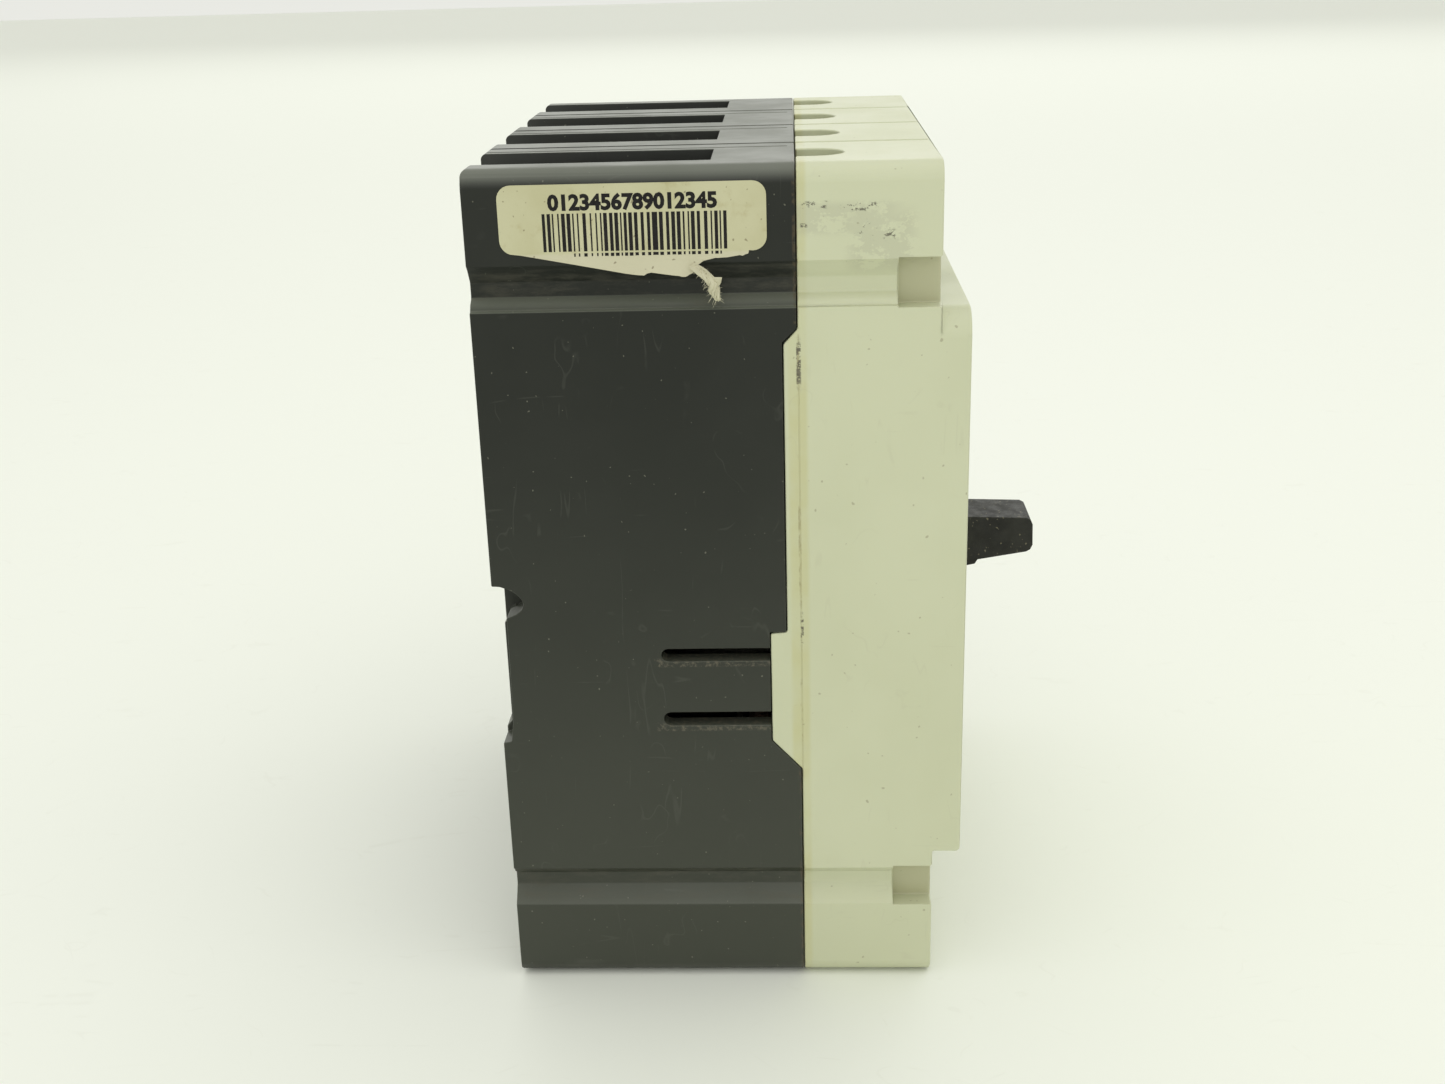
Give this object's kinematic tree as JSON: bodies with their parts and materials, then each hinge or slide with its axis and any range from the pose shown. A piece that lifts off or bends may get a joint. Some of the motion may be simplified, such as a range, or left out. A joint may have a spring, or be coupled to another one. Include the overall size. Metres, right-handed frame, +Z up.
{
  "type": "moulded case circuit breaker",
  "caption": "Multi-pole moulded case circuit breaker with a dark base, a pale stepped cover, a central toggle handle and terminal wells at both ends.",
  "frame": {"origin": "middle of the bottom (load) end face's outline, halfway between the rear mounting face and the handle's tip", "axes": "+X across the poles, -Y out of the front face, +Z up from the load end to the line end"},
  "size_m": [0.1018, 0.0914, 0.1397],
  "materials": {
    "base_plastic": "moulded, dusty",
    "cover_plastic": "moulded, scuffed",
    "handle_plastic": "moulded",
    "zinc_steel": "zinc plated",
    "spring_steel": "drawn wire",
    "plated_copper": "plated copper",
    "bimetal": "rolled strip",
    "arc_fibre": "vulcanised fibre",
    "bar_plastic": "moulded phenolic",
    "button_plastic": "moulded",
    "label_paper": "printed paper"
  },
  "bodies": {
    "case": {"base": "base_plastic", "cover": "cover_plastic", "side_label": "label_paper", "rating_label": "label_paper", "mechanism_side_1": "zinc_steel", "mechanism_side_2": "zinc_steel", "cradle_pin": "zinc_steel", "button_guide": "zinc_steel", "button_spring": "spring_steel", "cover_screw_1": "zinc_steel", "cover_screw_2": "zinc_steel", "cover_screw_3": "zinc_steel", "cover_screw_4": "zinc_steel", "line_collar_1": "zinc_steel", "line_collar_2": "zinc_steel", "line_collar_3": "zinc_steel", "line_collar_4": "zinc_steel", "load_collar_1": "zinc_steel", "load_collar_2": "zinc_steel", "load_collar_3": "zinc_steel", "load_collar_4": "zinc_steel", "line_terminal_screw_1": "zinc_steel", "line_terminal_screw_2": "zinc_steel", "line_terminal_screw_3": "zinc_steel", "line_terminal_screw_4": "zinc_steel", "load_terminal_screw_1": "zinc_steel", "load_terminal_screw_2": "zinc_steel", "load_terminal_screw_3": "zinc_steel", "load_terminal_screw_4": "zinc_steel", "line_conductor_1": "plated_copper", "line_conductor_2": "plated_copper", "line_conductor_3": "plated_copper", "line_conductor_4": "plated_copper", "load_conductor_1": "plated_copper", "load_conductor_2": "plated_copper", "load_conductor_3": "plated_copper", "load_conductor_4": "plated_copper", "bimetal_1": "bimetal", "bimetal_2": "bimetal", "bimetal_3": "bimetal", "bimetal_4": "bimetal", "arc_chute_1": "arc_fibre", "arc_chute_2": "arc_fibre", "arc_chute_3": "arc_fibre", "arc_chute_4": "arc_fibre"},
    "toggle": {"handle": "handle_plastic", "handle_shield": "handle_plastic", "handle_yoke": "zinc_steel", "toggle_spring_1": "spring_steel", "toggle_spring_2": "spring_steel"},
    "contacts": {"crossbar": "bar_plastic", "toggle_link": "zinc_steel", "contact_arm_1": "plated_copper", "contact_arm_2": "plated_copper", "contact_arm_3": "plated_copper", "contact_arm_4": "plated_copper"},
    "latch": {"cradle": "zinc_steel"},
    "trip": {"trip_bar": "bar_plastic"},
    "button": {"trip_button": "button_plastic"}
  },
  "joints": [
    {"name": "handle_hinge", "type": "hinge", "parent": "case", "child": "toggle", "pos_m": [-0.0127, -0.0043, 0.0682], "axis": [-1, 0, 0], "range_deg": [-18, 18]},
    {"name": "crossbar_hinge", "type": "hinge", "parent": "case", "child": "contacts", "pos_m": [0, 0.0277, 0.058], "axis": [-1, 0, 0], "range_deg": [-15, 15]},
    {"name": "trip_button_slide", "type": "slide", "parent": "case", "child": "button", "axis": [0, 1, 0], "range_m": [0, 0.002], "stiffness_N_per_m": 500, "springref_m": -0.001, "deforming": ["button_spring"]},
    {"name": "trip_bar_hinge", "type": "hinge", "parent": "case", "child": "trip", "pos_m": [0, 0.0027, 0.046], "axis": [-1, 0, 0], "range_deg": [0, 18]},
    {"name": "cradle_hinge", "type": "hinge", "parent": "case", "child": "latch", "pos_m": [-0.0127, 0.0077, 0.076], "axis": [-1, 0, 0], "range_deg": [0, 9]}
  ],
  "couplings": [
    {"joint": "crossbar_hinge", "follows": "handle_hinge", "ratio": 0.8333},
    {"joint": "trip_bar_hinge", "follows": "trip_button_slide", "rad_per_m": 150},
    {"joint": "cradle_hinge", "follows": "trip_button_slide", "rad_per_m": 70}
  ]
}
